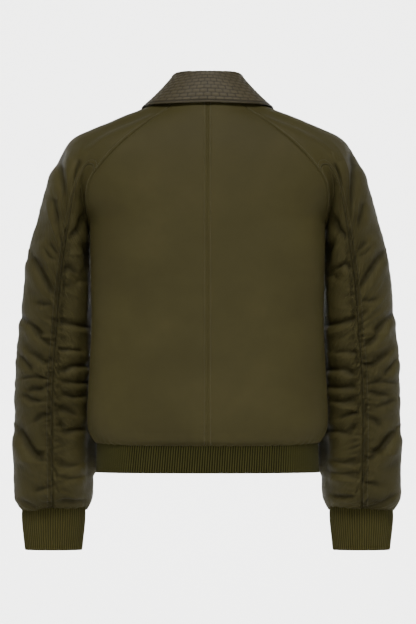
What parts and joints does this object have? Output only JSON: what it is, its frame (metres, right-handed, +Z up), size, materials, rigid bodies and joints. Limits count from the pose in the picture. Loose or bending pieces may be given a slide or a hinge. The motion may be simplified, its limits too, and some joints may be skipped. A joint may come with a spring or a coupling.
{
  "type": "bomber jacket",
  "caption": "Hip-length bomber jacket with raglan sleeves, a turned-down leather collar, ribbed cuffs and hem, and a front zip, filled out as if worn.",
  "frame": {"origin": "middle of the neck opening, level with the neck seam at the centre back, where the wearer's neck and shoulders hold the jacket", "axes": "+Z up along the body, +Y out of the jacket's front, +X to the wearer's right"},
  "size_m": [0.6222, 0.2622, 0.7656],
  "materials": {
    "shell": "plain-woven nylon with a soft satin sheen, dark olive",
    "rib_knit": "ribbed knit, dark olive, matt",
    "collar_leather": "soft leather in low relief, grey brown",
    "zip_tape": "woven zip tape, dark olive",
    "zip_metal": "aged, brushed"
  },
  "bodies": {
    "jacket": {"back_left": "shell", "back_right": "shell", "front_left": "shell", "front_right": "shell", "sleeve_outer_left": "shell", "sleeve_outer_right": "shell", "sleeve_under_left": "shell", "sleeve_under_right": "shell", "cuff_left": "rib_knit", "cuff_right": "rib_knit", "hem_band": "rib_knit", "collar": "collar_leather", "collar_edge": "collar_leather", "zip_tape_left": "zip_tape", "zip_tape_right": "zip_tape", "zip_slider": "zip_metal"},
    "zip_tab": {"zip_pull": "zip_metal"}
  },
  "joints": [
    {"name": "zip_tab_swing", "type": "hinge", "parent": "jacket", "child": "zip_tab", "pos_m": [0, 0.08873, -0.08502], "axis": [1, 0, 0], "range_deg": [0, 150]}
  ]
}
